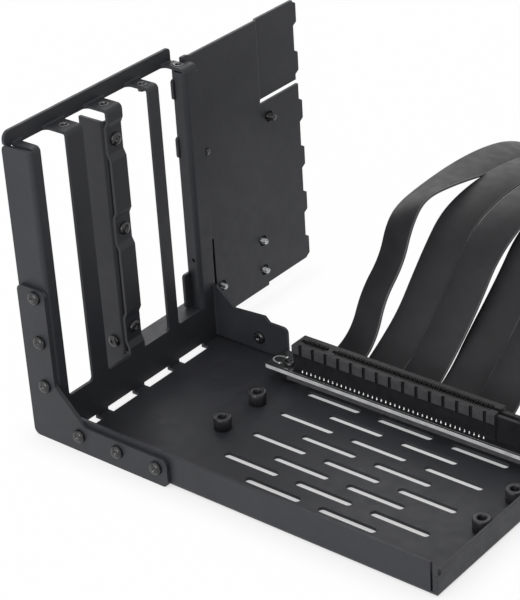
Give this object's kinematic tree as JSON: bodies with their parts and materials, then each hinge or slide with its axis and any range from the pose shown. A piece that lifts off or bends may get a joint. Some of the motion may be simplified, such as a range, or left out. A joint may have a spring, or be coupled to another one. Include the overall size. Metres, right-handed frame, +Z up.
{
  "type": "vertical graphics card mount",
  "caption": "Black folded tray and slot frame that hold a graphics card upright, with a toothed chassis plate and a ribbon riser.",
  "frame": {"origin": "centre of the tray's underside", "axes": "+X from the slot frame to the tray's free end, +Y to the back where the ribbons leave, +Z up"},
  "size_m": [0.1776, 0.3104, 0.1215],
  "materials": {
    "black_sheet": "fine black powder coat",
    "black_screw": "black oxide",
    "bare_screw": "zinc plated",
    "board": "black solder mask",
    "insulator": "matt black sheet",
    "housing": "moulded black",
    "contact": "gold plated",
    "solder": "tinned",
    "ribbon": "black jacket"
  },
  "bodies": {
    "root": {"base_tray": "black_sheet", "slot_frame": "black_sheet", "front_corner_bracket": "black_sheet", "corner_bracket_screws": "black_screw", "rear_ear_screw": "black_screw", "divider_bracket": "black_sheet", "divider_screws": "black_screw", "slot_ledge": "black_sheet", "ledge_screw": "black_screw", "chassis_plate": "black_sheet", "plate_screws": "bare_screw", "plate_stop_screws": "black_screw", "tray_standoffs": "black_screw", "riser_board": "board", "riser_insulator": "insulator", "riser_screws": "black_screw", "slot_housing": "housing", "slot_latch": "housing", "slot_contacts": "contact", "solder_tails": "solder", "ribbon_1": "ribbon", "ribbon_2": "ribbon", "ribbon_3": "ribbon", "ribbon_4": "ribbon", "ribbon_5": "ribbon", "plug_cover": "housing", "plug_board": "board", "plug_contacts": "contact"}
  },
  "joints": []
}
